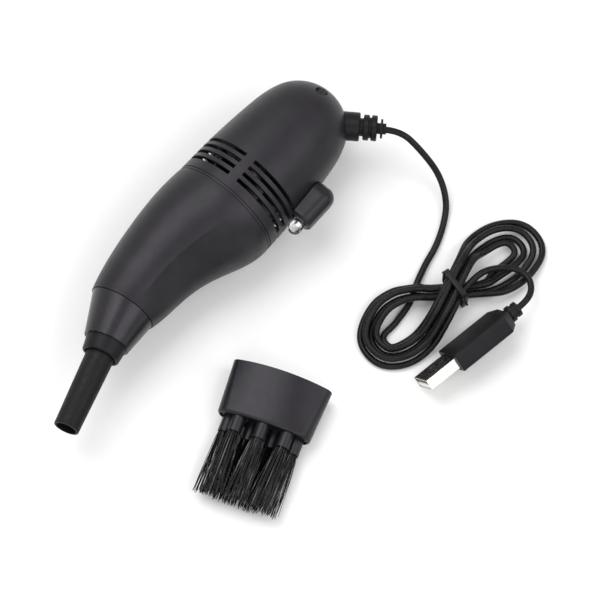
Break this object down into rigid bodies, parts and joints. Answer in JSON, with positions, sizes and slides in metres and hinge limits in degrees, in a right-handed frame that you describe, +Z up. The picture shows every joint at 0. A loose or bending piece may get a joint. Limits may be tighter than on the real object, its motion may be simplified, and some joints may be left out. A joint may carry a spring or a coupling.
{
  "type": "keyboard vacuum cleaner",
  "caption": "Small corded handheld vacuum for keyboards: vented egg-shaped housing, bent dust cup, nose cone, soft nozzle tube, lamp switch, brush head and cord.",
  "frame": {"origin": "on the table, under the middle of the box round the cleaner and its brush (the cord, hank and plug are left out of that box)", "axes": "+X from the nozzle to the dome along the housing, +Z up from the table, -Y to the side with the lamp"},
  "size_m": [0.1813, 0.1339, 0.0443],
  "materials": {
    "body_plastic": "satin black ABS with a very fine texture",
    "nose_plastic": "smoother black ABS",
    "collar_plastic": "slightly lighter black plastic",
    "tube_rubber": "dull soft black rubber",
    "slide_plastic": "satin black",
    "inner_plastic": "plain black moulding",
    "nylon": "natural white nylon",
    "motor_steel": "plated steel",
    "rotor_steel": "laminated steel",
    "magnet_ferrite": "dark grey ferrite",
    "copper": "enamelled copper wire",
    "brass": "tinned brass",
    "screw_steel": "zinc plated steel",
    "filter_felt": "pale felt",
    "lamp_clear": "water-clear epoxy",
    "relief_pvc": "soft black PVC",
    "brush_plastic": "satin black ABS",
    "bristle_nylon": "glossy black nylon filament",
    "cord_pvc": "glossy black PVC",
    "tie_pvc": "black PVC twist tie",
    "plug_pvc": "satin black moulded PVC",
    "plug_nickel": "nickel plated steel",
    "plug_white": "white plastic",
    "contact_gold": "gold plated contacts"
  },
  "bodies": {
    "body": {"rear_housing": "body_plastic", "strain_relief": "relief_pvc", "motor_can": "motor_steel", "motor_magnets": "magnet_ferrite", "motor_end_cap": "nylon", "motor_terminals": "brass", "motor_holder": "inner_plastic", "housing_screws": "screw_steel", "fan_shroud": "inner_plastic", "filter_frame": "inner_plastic", "filter_cloth": "filter_felt", "switch_body": "nylon", "cord_lead": "cord_pvc", "cord_hank": "cord_pvc", "cord_tail": "cord_pvc", "cord_tie": "tie_pvc", "plug_overmould": "plug_pvc", "plug_shell": "plug_nickel", "plug_insulator": "plug_white", "plug_contacts": "contact_gold"},
    "fan": {"motor_shaft": "motor_steel", "rotor_core": "rotor_steel", "rotor_windings": "copper", "impeller": "inner_plastic"},
    "switch": {"thumb_slide": "slide_plastic", "lamp": "lamp_clear", "lamp_legs": "screw_steel", "switch_lever": "inner_plastic"},
    "dust_cup": {"front_housing": "body_plastic", "nose_cone": "nose_plastic"},
    "nozzle": {"nozzle_collar": "collar_plastic", "nozzle_tube": "tube_rubber"},
    "brush": {"brush_cup": "brush_plastic", "brush_plate": "brush_plastic", "bristle_tuft_1": "bristle_nylon", "bristle_tuft_2": "bristle_nylon", "bristle_tuft_3": "bristle_nylon", "bristle_tuft_4": "bristle_nylon", "bristle_tuft_5": "bristle_nylon", "bristle_tuft_6": "bristle_nylon", "bristle_tuft_7": "bristle_nylon"}
  },
  "joints": [
    {"name": "fan_spin", "type": "hinge", "parent": "body", "child": "fan", "pos_m": [0.03511, 0.03346, 0.02214], "axis": [1, 0, 0], "continuous": true},
    {"name": "switch_slide", "type": "slide", "parent": "body", "child": "switch", "axis": [-1, 0, 0], "range_m": [0, 0.0025]},
    {"name": "dust_cup_pull", "type": "slide", "parent": "body", "child": "dust_cup", "axis": [-1, 0, 0], "range_m": [0, 0.03]},
    {"name": "nozzle_pull", "type": "slide", "parent": "dust_cup", "child": "nozzle", "axis": [-0.9548, -0.2974, 0], "range_m": [0, 0.012]},
    {"name": "brush_lift", "type": "slide", "parent": "body", "child": "brush", "axis": [0, 0, 1], "range_m": [0, 0.04]}
  ]
}
